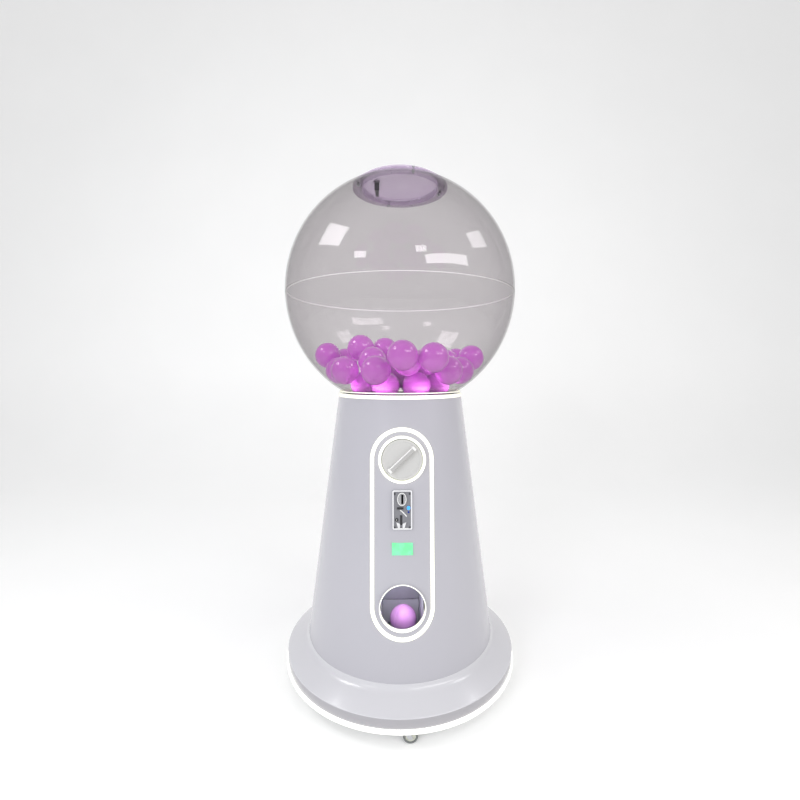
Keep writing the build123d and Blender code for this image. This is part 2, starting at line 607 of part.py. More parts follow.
lid = disc(lid_radius, lid_z, lid_z + lid_thickness)
lid += block(lid_radius - 4, hinge_x, -knuckle, knuckle, lid_z + 0.5, lid_z + lid_thickness - 0.5)
lid = lid + across(barrel_radius, -knuckle, knuckle) - across(pin_radius + running_gap, -40, 40)
lock_x, lock_y, lid_lock_radius = -85.0, -10.0, 9.0
lid -= disc(lid_lock_radius, lid_z - 1, lid_z + 20, lock_x, lock_y)
write("filler_lid", lid)
bracket = make_face(Plane.XZ * Polyline(
    (hinge_x - 5, hinge_z - 3), (hinge_x + 5, hinge_z - 3), (hinge_x + 5, lid_z - 26), (hinge_x - 5, lid_z - 26),
    close=True))
ears = []
collar_skin = Pos(0, 0, globe_z) * Sphere(globe_radius + collar_thickness)
for y in (-knuckle - part_gap - 8, knuckle + part_gap):
    ear = extrude(bracket, 8)
    ear = Pos(0, y - ear.bounding_box().min.Y, 0) * ear + across(barrel_radius, y, y + 8)
    ears.append(ear - collar_skin - across(pin_radius, -40, 40))
hinge_pin = across(pin_radius, -knuckle - part_gap - 8, knuckle + part_gap + 8)
write("lid_hinge", *ears, hinge_pin)
cam_top_z = collar_bottom_z - part_gap
write("lid_lock_barrel", disc(lid_lock_radius, cam_top_z, lid_z + lid_thickness, lock_x, lock_y)
      + disc(13, lid_z + lid_thickness, lid_z + lid_thickness + 4, lock_x, lock_y))
cam_reach = 53.0
write("lid_lock_cam", disc(8, cam_top_z - 3, cam_top_z, lock_x, lock_y)
      + block(lock_x - 6, lock_x + 6, lock_y, lock_y + cam_reach, cam_top_z - 3, cam_top_z))

# ---- Service door at the back, with its hinges and cam lock ----
door = cone_layer(-body_wall, 0, door_bottom_z, door_top_z)
door &= sector(door_half_angle - door_gap_angle, door_bottom_z + 2, door_top_z - 2)
lock_azimuth = 180 + door_half_angle - 5.4
lock_plane = cone_plane((door_bottom_z + door_top_z) / 2, lock_azimuth)
door -= lock_plane * disc(lock_radius, -30, 30)
hinge_azimuth = 180 - door_half_angle + door_gap_angle / 2
hinge_fixed = []
for z in (door_bottom_z + 90, door_top_z - 90):
    plane = cone_plane(z, hinge_azimuth)
    skin = cone_layer(0, hinge_leaf_thickness, z - hinge_length, z + hinge_length)

    def barrel(y0, y1, radius):
        return Pos(0, (y0 + y1) / 2, door_hinge_height) * Rot(90, 0, 0) * Cylinder(radius, y1 - y0)

    half = hinge_length / 2
    web = 1.0
    strap = skin & plane * block(2.0, 26, -half, half, -5, 8)
    strap += plane * (block(0, 6, -9.5, 9.5, web, door_hinge_height) + barrel(-9.5, 9.5, hinge_barrel_radius))
    door += strap - plane * barrel(-half - 9, half + 9, hinge_pin_radius + running_gap)
    leaf = skin & plane * block(-26, -2.0, -half, half, -5, 8)
    for y0, y1 in ((-half, -10), (10, half)):
        leaf += plane * (block(-6, 0, y0, y1, web, door_hinge_height) + barrel(y0, y1, hinge_barrel_radius))
    hinge_fixed.append(leaf - plane * barrel(-half - 9, half + 9, hinge_pin_radius))
    hinge_fixed.append(plane * barrel(-half, half, hinge_pin_radius))
write("service_door", door)
write("door_hinges", *hinge_fixed)
cam_depth = -26.0             # the lock's body reaches well clear behind the door stop
write("door_lock_barrel", lock_plane * (
    disc(lock_radius, cam_depth, 1.0) + disc(12, 1.0, 5.0)))
write("door_lock_cam", lock_plane * (disc(8, cam_depth - 3, cam_depth)
                                     + block(-6, 6, 0, 40, cam_depth - 3, cam_depth)))

# ---- Inside the body: coin tube, cash box, control box and power inlet ----
tube_start = plate_plane.from_local_coords(Vector(0, 3.5 - half_h, -0.68 * coin_selector_depth)) + Vector(0, 0, 4)
box_x0, box_x1, box_y0, box_y1 = 90.0, 210.0, -110.0, 90.0
box_z0 = base_light_top_z + base_plate_thickness + 0.5
box_z1, box_wall = box_z0 + 155.0, 1.5
tube_radius, tube_wall = 17.0, 2.0
tube_end = Vector((box_x0 + box_x1) / 2, -60, box_z1 + 1)
tube_knee = tube_start - Vector(0, 0, 60)
tube_elbow = tube_end + Vector(0, 0, 220)
tube_path = FilletPolyline(tube_start, tube_knee, tube_elbow, tube_end, radius=45)
tube_outer = sweep(Plane(tube_start, z_dir=(0, 0, -1)) * Circle(tube_radius), tube_path)
tube_inner = sweep(Plane(tube_start, z_dir=(0, 0, -1)) * Circle(tube_radius - tube_wall), tube_path)
selector_zone = plate_plane * block(3.5 - half_w, half_w - 3.5, 3.5 - half_h, half_h, -coin_selector_depth, 0)
write("coin_tube", tube_outer - tube_inner - selector_zone)
cash_box = block(box_x0, box_x1, box_y0, box_y1, box_z0, box_z1)
cash_box -= block(box_x0 + box_wall, box_x1 - box_wall, box_y0 + box_wall, box_y1 - box_wall,
                  box_z0 + box_wall, box_z1 - box_wall)
cash_box -= disc(tube_radius + 5, box_z1 - 5, box_z1 + 5, tube_end.X, tube_end.Y)
write("cash_box", cash_box)
chute_side = -chute_width / 2
control_width, control_height, control_below_drum = 70.0, 160.0, 190.0
write("control_box", block(
    chute_side - control_width, chute_side, chute_y - 55, chute_y + 45,
    drum_floor_z - control_below_drum - control_height, drum_floor_z - control_below_drum))
write("power_inlet", inlet_plane * (block(-14, 14, -10, 10, -28, 0.5) + block(-24, 24, -15, 15, 0.5, 3.5)))
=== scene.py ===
import math

import bpy
from mathutils import Matrix, Vector


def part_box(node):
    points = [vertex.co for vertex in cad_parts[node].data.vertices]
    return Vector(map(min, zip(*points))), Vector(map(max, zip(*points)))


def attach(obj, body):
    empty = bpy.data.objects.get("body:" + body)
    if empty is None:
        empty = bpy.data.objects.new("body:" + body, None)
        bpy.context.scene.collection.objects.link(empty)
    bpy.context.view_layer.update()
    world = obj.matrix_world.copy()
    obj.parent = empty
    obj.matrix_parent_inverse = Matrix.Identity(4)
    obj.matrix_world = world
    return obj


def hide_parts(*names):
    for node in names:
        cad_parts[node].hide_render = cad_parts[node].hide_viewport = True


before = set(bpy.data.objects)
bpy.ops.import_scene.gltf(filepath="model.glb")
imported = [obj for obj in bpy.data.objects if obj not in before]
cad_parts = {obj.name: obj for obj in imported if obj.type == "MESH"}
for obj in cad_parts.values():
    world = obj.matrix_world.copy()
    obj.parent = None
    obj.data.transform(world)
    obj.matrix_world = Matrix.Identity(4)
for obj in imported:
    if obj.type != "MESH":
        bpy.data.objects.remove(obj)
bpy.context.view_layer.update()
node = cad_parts


# Camera. It stands a metre and two thirds in front of the machine at chest height, a little to the left
# of its middle, and looks slightly down with a wide lens.
camera_distance, camera_height, camera_turn, camera_tilt = 1.6568, 1.1617, 1.5, 5.5
camera = bpy.data.objects.new("camera", bpy.data.cameras.new("camera"))
bpy.context.scene.collection.objects.link(camera)
bpy.context.scene.camera = camera
turn = math.radians(camera_turn)
camera.location = (-camera_distance * math.sin(turn), -camera_distance * math.cos(turn), camera_height)
camera.rotation_euler = (math.radians(90 - camera_tilt), 0, -turn)
camera.data.sensor_width = 36
camera.data.lens = 19.34
camera.data.shift_y = 0.01535
bpy.context.scene.view_settings.view_transform = "Standard"


# Casters. Four 50 mm furniture casters on threaded stems, with grey rubber tyres on pale nylon hubs. The
# forks, stems and nuts are zinc-plated steel; each stem goes through the base plate into its nut.
class Value:
    """A shader socket that Python sums can be written with."""

    def __init__(self, socket):
        self.socket = socket

    def math(self, operation, other, swapped=False):
        tree = self.socket.id_data
        made = tree.nodes.new("ShaderNodeMath")
        made.operation = operation
        for slot, value in zip(made.inputs, (other, self) if swapped else (self, other)):
            if isinstance(value, Value):
                tree.links.new(value.socket, slot)
            else:
                slot.default_value = value
        return Value(made.outputs[0])

    def __add__(self, other):
        return self.math("ADD", other)

    def __sub__(self, other):
        return self.math("SUBTRACT", other)

    def __mul__(self, other):
        return self.math("MULTIPLY", other)

    def __pow__(self, other):
        return self.math("POWER", other)

    def __rsub__(self, other):
        return self.math("SUBTRACT", other, swapped=True)

    __radd__, __rmul__ = __add__, __mul__


class Finish:
    """One material: a main shader with its fixed values, and what is linked to it."""

    def __init__(self, name, color, **fixed):
        self.material = bpy.data.materials.new(name)
        self.material.use_nodes = True
        self.tree = self.material.node_tree
        self.shader = self.tree.nodes["Principled BSDF"]
        self.output = self.tree.nodes["Material Output"]
        self.material.diffuse_color = (*color, 1)
        self.shader.inputs["Base Color"].default_value = (*color, 1)
        for label, value in fixed.items():
            self.shader.inputs[label.replace("_", " ")].default_value = value

    def add(self, kind, settings=None, out=0, **inputs):
        """Any other node: its type, its settings, and the values or links of its sockets.

        A socket is given by its label, or by its number after an i."""
        made = self.tree.nodes.new("ShaderNode" + kind)
        for label, value in (settings or {}).items():
            if label == "ramp":
                while len(made.color_ramp.elements) < len(value):
                    made.color_ramp.elements.new(0.5)
                for stop, (place, color) in zip(made.color_ramp.elements, value):
                    stop.position, stop.color = place, (*color, 1)
            else:
                setattr(made, label, value)
        for label, value in inputs.items():
            slot = made.inputs[int(label[1:]) if label[1:].isdigit() else label]
            if isinstance(value, Value):
                self.tree.links.new(value.socket, slot)
            else:
                slot.default_value = value
        return Value(made.outputs[out])

    def feed(self, **links):
        """Links values to the main shader's own sockets."""
        for label, value in links.items():
            self.tree.links.new(value.socket, self.shader.inputs[label.replace("_", " ")])
        return self

    def grain(self, scale, detail=3.0, stretch=(1, 1, 1)):
        """Soft noise from 0 to 1, fixed to the piece."""
        place = self.add("TexCoord", out=3)
        moved = self.add("Mapping", Vector=place, Scale=stretch)
        return self.add("TexNoise", Vector=moved, Scale=scale, Detail=detail)

    def edge(self):
        """0 where the surface faces the eye, 1 where it is seen edge-on."""
        return self.add("LayerWeight", out=1, Blend=0.5)

    def bump(self, height, depth, strength=1.0):
        """Raises the surface by height, depth metres at most."""
        return self.feed(Normal=self.add("Bump", Height=height, Distance=depth, Strength=strength))

    def tone(self, mask, low, high):
        """Colour between two others, by a mask from 0 to 1."""
        return self.feed(Base_Color=self.add("ValToRGB", {"ramp": [(0.12, low), (0.88, high)]}, Fac=mask))

    def on(self, *names):
        """Gives this finish to carried-over parts."""
        for name in names:
            part = node[name]
            part.data.materials.clear()
            part.data.materials.append(self.material)
        return self


def shade(color, factor):
    """A colour made lighter or darker."""
    return tuple(min(1, part * factor) for part in color)


def satin(name, color, roughness=0.4, metallic=0.0, scale=60.0, stretch=(1, 1, 1), depth=0.00003):
    """Moulded plastic or plated metal with a faint grain."""
    finish = Finish(name, color, Metallic=metallic)
    grain = finish.grain(scale, 4.0, stretch)
    finish.feed(Roughness=grain * 0.16 + (roughness - 0.08))
    finish.tone(grain, shade(color, 0.94), shade(color, 1.05))
    return finish.bump(grain, depth, 0.5)


def add_mesh(name, points, faces, finish, body, replaces=(), slot=None, smooth=True):
    """A new piece from points and faces, with its finish and the body that it rides on."""
    mesh = bpy.data.meshes.new(name)
    mesh.from_pydata(points, [], faces)
    mesh.validate()
    piece = bpy.data.objects.new(name, mesh)
    bpy.context.scene.collection.objects.link(piece)
    for face in mesh.polygons:
        face.use_smooth = smooth
    mesh.materials.append(finish.material)
    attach(piece, body)
    if replaces:
        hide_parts(*replaces)
    return piece


def rounded(corners, radius, steps=5):
    """Closed outline with its corners rounded off, steps + 1 points to each."""
    outline = []
    for i, corner in enumerate(corners):
        corner = Vector(corner)
        before, after = Vector(corners[i - 1]), Vector(corners[(i + 1) % len(corners)])
        reach = min(radius, 0.45 * (before - corner).length, 0.45 * (after - corner).length)
        start = corner + (before - corner).normalized() * reach
        end = corner + (after - corner).normalized() * reach
        for step in range(steps + 1):
            t = step / steps
            outline.append(start * (1 - t) ** 2 + corner * 2 * t * (1 - t) + end * t ** 2)
    return outline


def lathe(outline, matrix=Matrix(), steps=144, closed=True):
    """Points and faces of an outline of (radius, height) turned round the Z axis."""
    points, faces, n = [], [], len(outline)
    for step in range(steps):
        angle = 2 * math.pi * step / steps
        for radius, height in outline:
            points.append(matrix @ Vector((radius * math.cos(angle), radius * math.sin(angle), height)))
        for i in range(n if closed else n - 1):
            here, after = step * n, ((step + 1) % steps) * n
            faces.append((here + i, here + (i + 1) % n, after + (i + 1) % n, after + i))
    return points, faces


zinc = satin("zinc_plate", (0.55, 0.56, 0.58), 0.3, 1.0, 140.0)
zinc.on("caster_mounts", "caster_fork_front", "caster_fork_right", "caster_fork_rear", "caster_fork_left")
tyre = satin("caster_tyre", (0.16, 0.17, 0.17), 0.55, 0.0, 300.0)
hub = satin("caster_hub", (0.62, 0.63, 0.56), 0.45, 0.0, 220.0)
axle_radius, wheel_steps = 0.0041, 64
tyre_corners = [(0.7, -1), (1, -1), (1, 1), (0.7, 1)]
hub_corners = [(0.26, -1), (0.34, -0.6), (0.62, -0.55), (0.72, -0.85),
               (0.72, 0.85), (0.62, 0.55), (0.34, 0.6), (0.26, 1)]
for quarter, side in enumerate(("front", "right", "rear", "left")):
    low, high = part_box("caster_wheel_" + side)
    centre, radius = (low + high) / 2, (high.z - low.z) / 2
    width = min(high.x - low.x, high.y - low.y) / 2
    axis = Matrix.Translation(centre) @ Matrix.Rotation(math.pi / 2 * quarter, 4, "Z") \
        @ Matrix.Rotation(math.pi / 2, 4, "X")
    section = rounded([(a * radius, b * width) for a, b in tyre_corners], 0.004)
    points, faces = lathe(section, axis, wheel_steps)
    add_mesh("tyre_" + side, points, faces, tyre, "wheel_" + side, ["caster_wheel_" + side], "wheel_rubber")
    section = rounded([(axle_radius, -width)] + [(a * radius, b * width) for a, b in hub_corners]
                      + [(axle_radius, width)], 0.001)
    points, faces = lathe(section, axis, wheel_steps)
    add_mesh("hub_" + side, points, faces, hub, "wheel_" + side, (), "grey_plastic")


# Plinth. A spun steel skirt, sprayed like the cabinet, with a cove where the cone stands on it and a band
# below its edge. The skirt and cove are painted a shade paler than the cabinet as painted light on the
# upward slope, and the band darker as painted shade under the edge. It is welded to the zinc-plated base
# plate.
def gloss_paint(name, color, roughness=0.28):
    """Sprayed two-pack paint: a clear coat over a pearl base, with a fine orange peel."""
    finish = Finish(name, color, Coat_Weight=0.5, Coat_Roughness=0.12)
    haze = finish.grain(2.2, 2.0, (1, 1, 0.25))
    finish.feed(Roughness=haze * 0.04 + roughness)
    pearl_flakes = haze * 0.35 + finish.grain(700.0, 1.0) * 0.65
    finish.tone(pearl_flakes, shade(color, 0.98), shade(color, 1.02))
    return finish.bump(finish.grain(260.0, 2.0), 0.00004, 0.4)


# The cabinet is a plain cone, and everything on its front is laid out on planes that lean back with it.
cone_low, cone_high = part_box("body_shell")
neck_low, neck_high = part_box("neck_light_ring")
foot_radius = cone_high.x
lean = math.atan((foot_radius - neck_high.x) / (cone_high.z - cone_low.z))


def cone_radius(z):
    """Radius of the cabinet's painted surface at height z."""
    return foot_radius - (z - cone_low.z) * math.tan(lean)


zinc.on("base_plate")
plinth_low, plinth_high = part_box("plinth_shell")
ring_low, ring_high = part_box("base_light_ring")
plate_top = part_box("base_plate")[1].z
skirt, ridge, sheet, skin = plinth_high.x, 0.1034, 0.003, 0.0004
cove, cove_steps, plinth_steps = 0.013, 10, 240
cove_start = Vector((cone_radius(plinth_high.z + cove) + skin, plinth_high.z + cove))
cove_corner = Vector((foot_radius + skin, plinth_high.z))
cove_end = cove_corner + (Vector((skirt, ridge)) - cove_corner).normalized() * 1.6 * cove
cove_outline = []
for step in range(cove_steps + 1):
    t = step / cove_steps
    cove_outline.append(cove_end * (1 - t) ** 2 + cove_corner * 2 * t * (1 - t) + cove_start * t ** 2)
nose_corners = [(skirt - 0.030, ridge + 0.0141), (skirt, ridge), (skirt, ring_high.z + 0.001)]
nose = rounded(nose_corners, 0.0025)[6:12]
outline = nose[::-1] + cove_outline + [
    (foot_radius - 0.004, plinth_high.z + cove), (foot_radius - 0.004, plinth_high.z - sheet),
    (skirt - sheet, ridge - sheet), (skirt - sheet, ridge - 2 * sheet)]
points, faces = lathe(outline, steps=plinth_steps)
# Painted light: the skirt's paint is a paler copy of the cabinet's pearl, for the light on its upward slope
# and cove.
plinth_painted_light = gloss_paint("plinth_painted_light", (0.66, 0.655, 0.69), 0.2)
add_mesh("plinth_skirt", points, faces, plinth_painted_light, "cabinet", ["plinth_shell"], "body_white")
lit_top, band_top, band_face, flange = ring_high.z - 0.005, ridge - 0.001, skirt - 0.0003, skirt - 0.014
outline = [(band_face, lit_top), (band_face, band_top), (skirt - sheet, band_top),
           (skirt - sheet, plate_top + sheet), (flange, plate_top + sheet), (flange, plate_top),
           (skirt - sheet, plate_top), (skirt - sheet, lit_top)]
points, faces = lathe(rounded(outline, 0.0004, 2), steps=plinth_steps)
# Painted shade: the band's paint is a darker copy of the cabinet's pearl, for the shade under the skirt's
# edge.
band_painted_shade = gloss_paint("plinth_band_painted_shade", (0.40, 0.39, 0.415), 0.3)
add_mesh("plinth_band", points, faces, band_painted_shade, "cabinet", (), "body_white")


# Base light. A row of lamps behind a milky silicone ring, clipped under the plinth's edge.
def glowing(name, color, strength, core=(1, 1, 1)):
    """Milky silicone or acrylic over a row of lamps, dimmer and warmer towards its edges. On the globe's seam
    weld, which has no lamp, it paints a glow.
    """
    finish = Finish(name, core, Roughness=0.35, Emission_Strength=strength)
    lamps = finish.grain(90.0, 1.0)
    warm = tuple(part * dim for part, dim in zip(color, (0.40, 0.41, 0.33)))
    finish.feed(Emission_Color=finish.add("ValToRGB", {"ramp": [(0.16, color), (0.92, warm)]},
                                          Fac=finish.edge() + lamps * 0.1 - 0.05))
    return finish


def turned_ring(name, inner, outer, low, high, edge, finish, body, matrix=Matrix(), **facts):
    """A ring with a soft-edged square section."""
    corners = [(inner, low), (outer, low), (outer, high), (inner, high)]
    points, faces = lathe(rounded(corners, edge), matrix)
    return add_mesh(name, points, faces, finish, body, **facts)


base_glow = glowing("lit_base", (1.0, 0.995, 0.93), 1.15)
turned_ring("base_lamp", -ring_low.x - 0.012, ring_high.x, ring_low.z, lit_top, 0.004, base_glow, "cabinet",
            replaces=["base_light_ring"], slot="light_white")


# Cabinet. A rolled steel cone, welded along its back and sprayed in pearl lilac-grey, with holes cut for
# the knob, the coin unit, the display and the outlet. The black power inlet snaps into its foot.
pearl = gloss_paint("pearl_paint", (0.485, 0.477, 0.522), 0.24)
pearl.on("body_shell")
black = satin("black_moulding", (0.03, 0.03, 0.035), 0.45, 0.0, 180.0)
black.on("power_inlet")


# Service door. It is cut from the cone and hangs on two plated hinges in the back. A chrome key barrel
# turns a plated cam behind the frame.
pearl.on("service_door")
zinc.on("door_hinges", "door_lock_cam")
satin("chrome", (0.85, 0.86, 0.88), 0.14, 1.0, 90.0, depth=0.00001).on("door_lock_barrel")


# Light loop. A milky silicone tube with a row of lamps in it, bent round the knob and the outlet and let
# into a groove in the front of the cone.
def front_plane(z):
    """Frame on the front of the cone at height z: X across, Y up the cone, Z out of it."""
    across, out = Vector((1, 0, 0)), Vector((0, -math.cos(lean), math.sin(lean)))
    made = Matrix((across, out.cross(across), out)).transposed().to_4x4()
    made.translation = (0, -cone_radius(z), z)
    return made


knob_z, outlet_z = 0.8701, 0.3925
tube_half, tube_height, tube_sides = 0.0070, 0.0055, 14
loop_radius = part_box("panel_light_loop")[1].x - 0.0079
loop_frame = front_plane((knob_z + outlet_z) / 2)
half_run = (knob_z - outlet_z) / 2 / math.cos(lean)
arc_steps, run_steps = 48, 24
centre_line = []
for end, start_angle in ((1, 0.0), (-1, math.pi)):
    for step in range(arc_steps + 1):
        angle = start_angle + math.pi * step / arc_steps
        centre_line.append(Vector((loop_radius * math.cos(angle),
                                   end * half_run + loop_radius * math.sin(angle), 0)))
    for step in range(1, run_steps):
        centre_line.append(Vector((-end * loop_radius, end * half_run * (1 - 2 * step / run_steps), 0)))


def onto_cone(flat):
    """Drops a point of the front plane straight onto the cone, and gives the way out of the cone there."""
    point = loop_frame @ flat
    inwards = loop_frame.to_3x3() @ Vector((0, 0, -1))
    for guess in range(12):
        point += inwards * (math.hypot(point.x, point.y) - cone_radius(point.z))
    from_axis = math.hypot(point.x, point.y)
    out = Vector((point.x / from_axis * math.cos(lean), point.y / from_axis * math.cos(lean), math.sin(lean)))
    return point, out


points, faces = [], []
for i, flat in enumerate(centre_line):
    point, out = onto_cone(flat)
    after = onto_cone(centre_line[(i + 1) % len(centre_line)])[0]
    before = onto_cone(centre_line[i - 1])[0]
    side = (after - before).normalized().cross(out)
    for step in range(tube_sides):
        angle = 2 * math.pi * step / tube_sides
        points.append(point + side * tube_half * math.cos(angle) + out * tube_height * math.sin(angle))
        here, other = i * tube_sides, ((i + 1) % len(centre_line)) * tube_sides
        around = (step + 1) % tube_sides
        faces.append((here + step, here + around, other + around, other + step))
lamp = glowing("lit_silicone", (1.0, 0.995, 0.92), 1.5, (0.30, 0.30, 0.26))
add_mesh("panel_lamp", points, faces, lamp, "cabinet", ["panel_light_loop"], "light_white")


# Knob. A cast disc with a raised grip bar turns in a bush inside a lit ring. Its plated shaft ends in a
# cam that trips a black microswitch behind the front.
knob_frame = front_plane(knob_z)
turned_ring("knob_lamp", 0.0696, 0.0787, -0.018, 0.007, 0.0044, lamp, "cabinet", knob_frame,
            replaces=["knob_light_ring"], slot="light_white")
knob_grey = satin("knob_casting", (0.60, 0.595, 0.585), 0.38, 0.0, 320.0)
# Painted shade: the grip's grey is a darker copy of the disc's casting grey, for the shade on the bar.
grip_painted_shade = satin("grip_casting_painted_shade", (0.47, 0.465, 0.46), 0.42, 0.0, 320.0)
# A pale finish for pale edges and parts; on the knob's grip it is also a painted highlight.
bright = satin("bright_edge_and_painted_highlight", (0.86, 0.86, 0.85), 0.25, 0.0, 260.0)
zinc.on("knob_mount", "knob_shaft")
black.on("knob_switch")
disc_face = 0.0012
disc = rounded([(0.0, -0.009), (0.066, -0.009), (0.066, 0.003), (0.0605, 0.003), (0.0565, disc_face),
                (0.0, disc_face)], 0.0016)
points, faces = lathe(disc, knob_frame)
add_mesh("knob_face", points, faces, knob_grey, "knob", ["knob_disc"], "knob_grey")


def soft_block(name, size, place, edge, finish, body, **facts):
    """A block with rounded edges, placed by its middle."""
    x, y, z = (s / 2 for s in size)
    corners = [place @ Vector((a * x, b * y, c * z)) for a in (-1, 1) for b in (-1, 1) for c in (-1, 1)]
    faces = [(0, 1, 3, 2), (4, 6, 7, 5), (0, 4, 5, 1), (2, 3, 7, 6), (0, 2, 6, 4), (1, 5, 7, 3)]
    piece = add_mesh(name, corners, faces, finish, body, smooth=False, **facts)
    bevel = piece.modifiers.new("soft edges", "BEVEL")
    bevel.width, bevel.segments = edge, 3
    bevel.harden_normals = True


grip_frame = knob_frame @ Matrix.Rotation(math.radians(43), 4, "Z")
grip_length, grip_height, grip_middle = 0.100, 0.0213, 0.01185
soft_block("knob_grip", (grip_length, 0.0105, grip_height),
           grip_frame @ Matrix.Translation((0, -0.0006, grip_middle)), 0.0022, grip_painted_shade, "knob",
           replaces=["knob_bar"], slot="knob_grey")
# Painted highlight: a bright strip along the grip's upper-left side, where light catches the bar.
soft_block("knob_grip_painted_highlight", (grip_length + 0.002, 0.0032, grip_height + 0.0004),
           grip_frame @ Matrix.Translation((0, 0.0056, grip_middle)), 0.0012, bright, "knob",
           slot="knob_grey")
for end in (-1, 1):
    soft_block(f"knob_grip_end_{end + 1}", (0.0095, 0.0175, grip_height + 0.0004),
               grip_frame @ Matrix.Translation((end * 0.0535, 0.0008, grip_middle)), 0.0035, bright,
               "knob", slot="knob_grey")


# Coin unit. A die-cast zinc plate with a pale raised edge, held by four dark screws. The oval entry, the
# blue lamp, the reject button, the lever and the return chute are set into it; the black selector is
# clipped behind.
coin_frame = front_plane(0.7082)
satin("zinc_casting", (0.27, 0.27, 0.295), 0.42, 0.35, 260.0).on("coin_plate", "coin_lamp_lens")
pale = satin("pale_edge", (0.82, 0.82, 0.84), 0.3, 0.0, 200.0)
satin("bezel_grey", (0.50, 0.50, 0.52), 0.28, 0.4, 260.0).on("coin_entry_bezel")
satin("scoop_steel", (0.88, 0.88, 0.90), 0.25, 0.3, 120.0).on("coin_return_scoop")
satin("dark_screw", (0.09, 0.09, 0.10), 0.35, 0.6, 300.0).on("coin_plate_screws")
black.on("coin_selector", "reject_button")


def outline_frame(name, outer, inner, low, high, finish, smooth=False, **facts):
    """A flat frame on the coin plate, between two outlines of (x, y) with as many points."""
    n = len(outer)
    points = [coin_frame @ Vector((x, y, z)) for z in (low, high) for line in (outer, inner) for x, y in line]
    faces = []
    for i in range(n):
        j = (i + 1) % n
        faces += [(i, j, 2 * n + j, 2 * n + i), (2 * n + i, 2 * n + j, 3 * n + j, 3 * n + i),
                  (3 * n + i, 3 * n + j, n + j, n + i)]
        if not smooth:
            faces.append((n + i, n + j, j, i))
    add_mesh(name, points, faces, finish, "cabinet", smooth=smooth, **facts)


def rectangle(width, height):
    """Corners of a rectangle round the middle of the plate."""
    return [(a * width / 2, b * height / 2) for a, b in ((-1, -1), (1, -1), (1, 1), (-1, 1))]


plate_width, plate_height, plate_border = 0.0645, 0.1275, 0.0042
outline_frame("coin_plate_edge", rounded(rectangle(plate_width, plate_height), 0.005, 6),
              rounded(rectangle(plate_width - 2 * plate_border, plate_height - 2 * plate_border), 0.003, 6),
              0.0030, 0.0060, pale, slot="zinc_grey")


def coin_part(name, outline, low, high, finish, slot, edge=0.0005, body="cabinet"):
    """A flat part on the coin plate, from an outline of (x, y) in millimetres, with softened rims."""
    n = len(outline)
    points = [coin_frame @ Vector((x / 1000, y / 1000, z / 1000)) for z in (low, high) for x, y in outline]
    faces = [tuple(range(n))[::-1], tuple(range(n, 2 * n))]
    faces += [(i, (i + 1) % n, n + (i + 1) % n, n + i) for i in range(n)]
    piece = add_mesh(name, points, faces, finish, body, (), slot, smooth=False)
    rim = piece.modifiers.new("soft rim", "BEVEL")
    rim.width, rim.segments, rim.limit_method = edge, 2, "ANGLE"


def oval(x, y, half_width, half_height, steps=40):
    """Points of an oval."""
    turns = [2 * math.pi * i / steps for i in range(steps)]
    return [(x + half_width * math.cos(angle), y + half_height * math.sin(angle)) for angle in turns]


def box_outline(left, bottom, right, top):
    """Corners of an upright rectangle."""
    return [(left, bottom), (right, bottom), (right, top), (left, top)]


slot_y, bezel_face = 35.0, 8.5
outline_frame("coin_entry_rim", oval(-0.0014, slot_y / 1000, 0.0155, 0.0215),
              oval(-0.0014, slot_y / 1000, 0.0129, 0.0189), bezel_face / 1000, bezel_face / 1000 + 0.0009,
              bright, smooth=True, slot="chrome")
slot_grey = satin("slot_grey", (0.20, 0.20, 0.22), 0.4, 0.0, 260.0)
for side in (-1, 1):
    cheek = [(3.0, -14.5), (4.2, -14.5), (4.2, 11.5), (7.5, 9.5), (3.0, 17.0)]
    coin_part(f"coin_slot_cheek_{side + 1}", [(side * x, slot_y + y) for x, y in cheek][::side],
              bezel_face - 0.2, bezel_face + 0.5, slot_grey, "dark_plastic", 0.0002)
blue = glowing("blue_lamp", (0.05, 0.36, 0.98), 0.9, (0.05, 0.3, 0.9))
coin_part("coin_lamp_dome", oval(20.3, 6.6, 5.6, 6.6), 4.6, 7.6, blue, "lamp_blue", 0.0012)
coin_part("reject_bar", box_outline(-17.2, 2.2, 3.4, 8.4), 6.6, 7.6, black, "dark_plastic",
          body="reject_button")
lever_line = [(-0.007, -0.001), (-0.002, -0.004), (0.004, -0.010), (0.010, -0.016), (0.014, -0.021)]
for i, (a, b) in enumerate(zip(lever_line, lever_line[1:])):
    a, b = Vector(a), Vector(b)
    place = coin_frame @ Matrix.Translation((*(a + b) / 2, 0.0046)) \
        @ Matrix.Rotation(math.atan2(b.y - a.y, b.x - a.x), 4, "Z")
    soft_block(f"coin_lever_{i + 1}", ((b - a).length + 0.0014, 0.0038, 0.0028), place, 0.0010, bright,
               "cabinet", slot="chrome")
coin_part("coin_unit_key", oval(-18.5, -32, 5.6, 5.6), 3.3, 6.2, black, "dark_plastic")
coin_part("coin_unit_key_slot", box_outline(-19.1, -35, -17.9, -29), 6.0, 6.5, bright, "chrome", 0.0001)
sensor_blue = satin("sensor_blue", (0.02, 0.05, 0.30), 0.2)
coin_part("coin_sensor", oval(20.5, -7.5, 3.4, 3.4), 3.3, 4.8, sensor_blue, "lamp_blue")
coin_part("return_slot_lining", box_outline(-7.6, -49, 0.2, -17), 3.3, 3.9, black, "dark_plastic", 0.0002)
coin_part("coin_return_ledge", box_outline(-19, -61, 19, -58.4), 3.4, 7.0, bright, "chrome")


# Display. A backlit green liquid crystal window behind a clear lens, screwed to the back of the front
# sheet in a black moulded case.
green = Finish("display_green", (0.05, 0.20, 0.10), Roughness=0.14, Emission_Strength=0.88)
blotch = green.grain(48.0, 1.5) * 0.9 + green.grain(900.0, 1.0) * 0.1
backlight = {"ramp": [(0.38, (0.22, 0.95, 0.40)), (0.66, (0.30, 0.80, 0.58))]}
green.feed(Emission_Color=green.add("ValToRGB", backlight, Fac=blotch))
green.on("display_lens")
black.on("display_module")
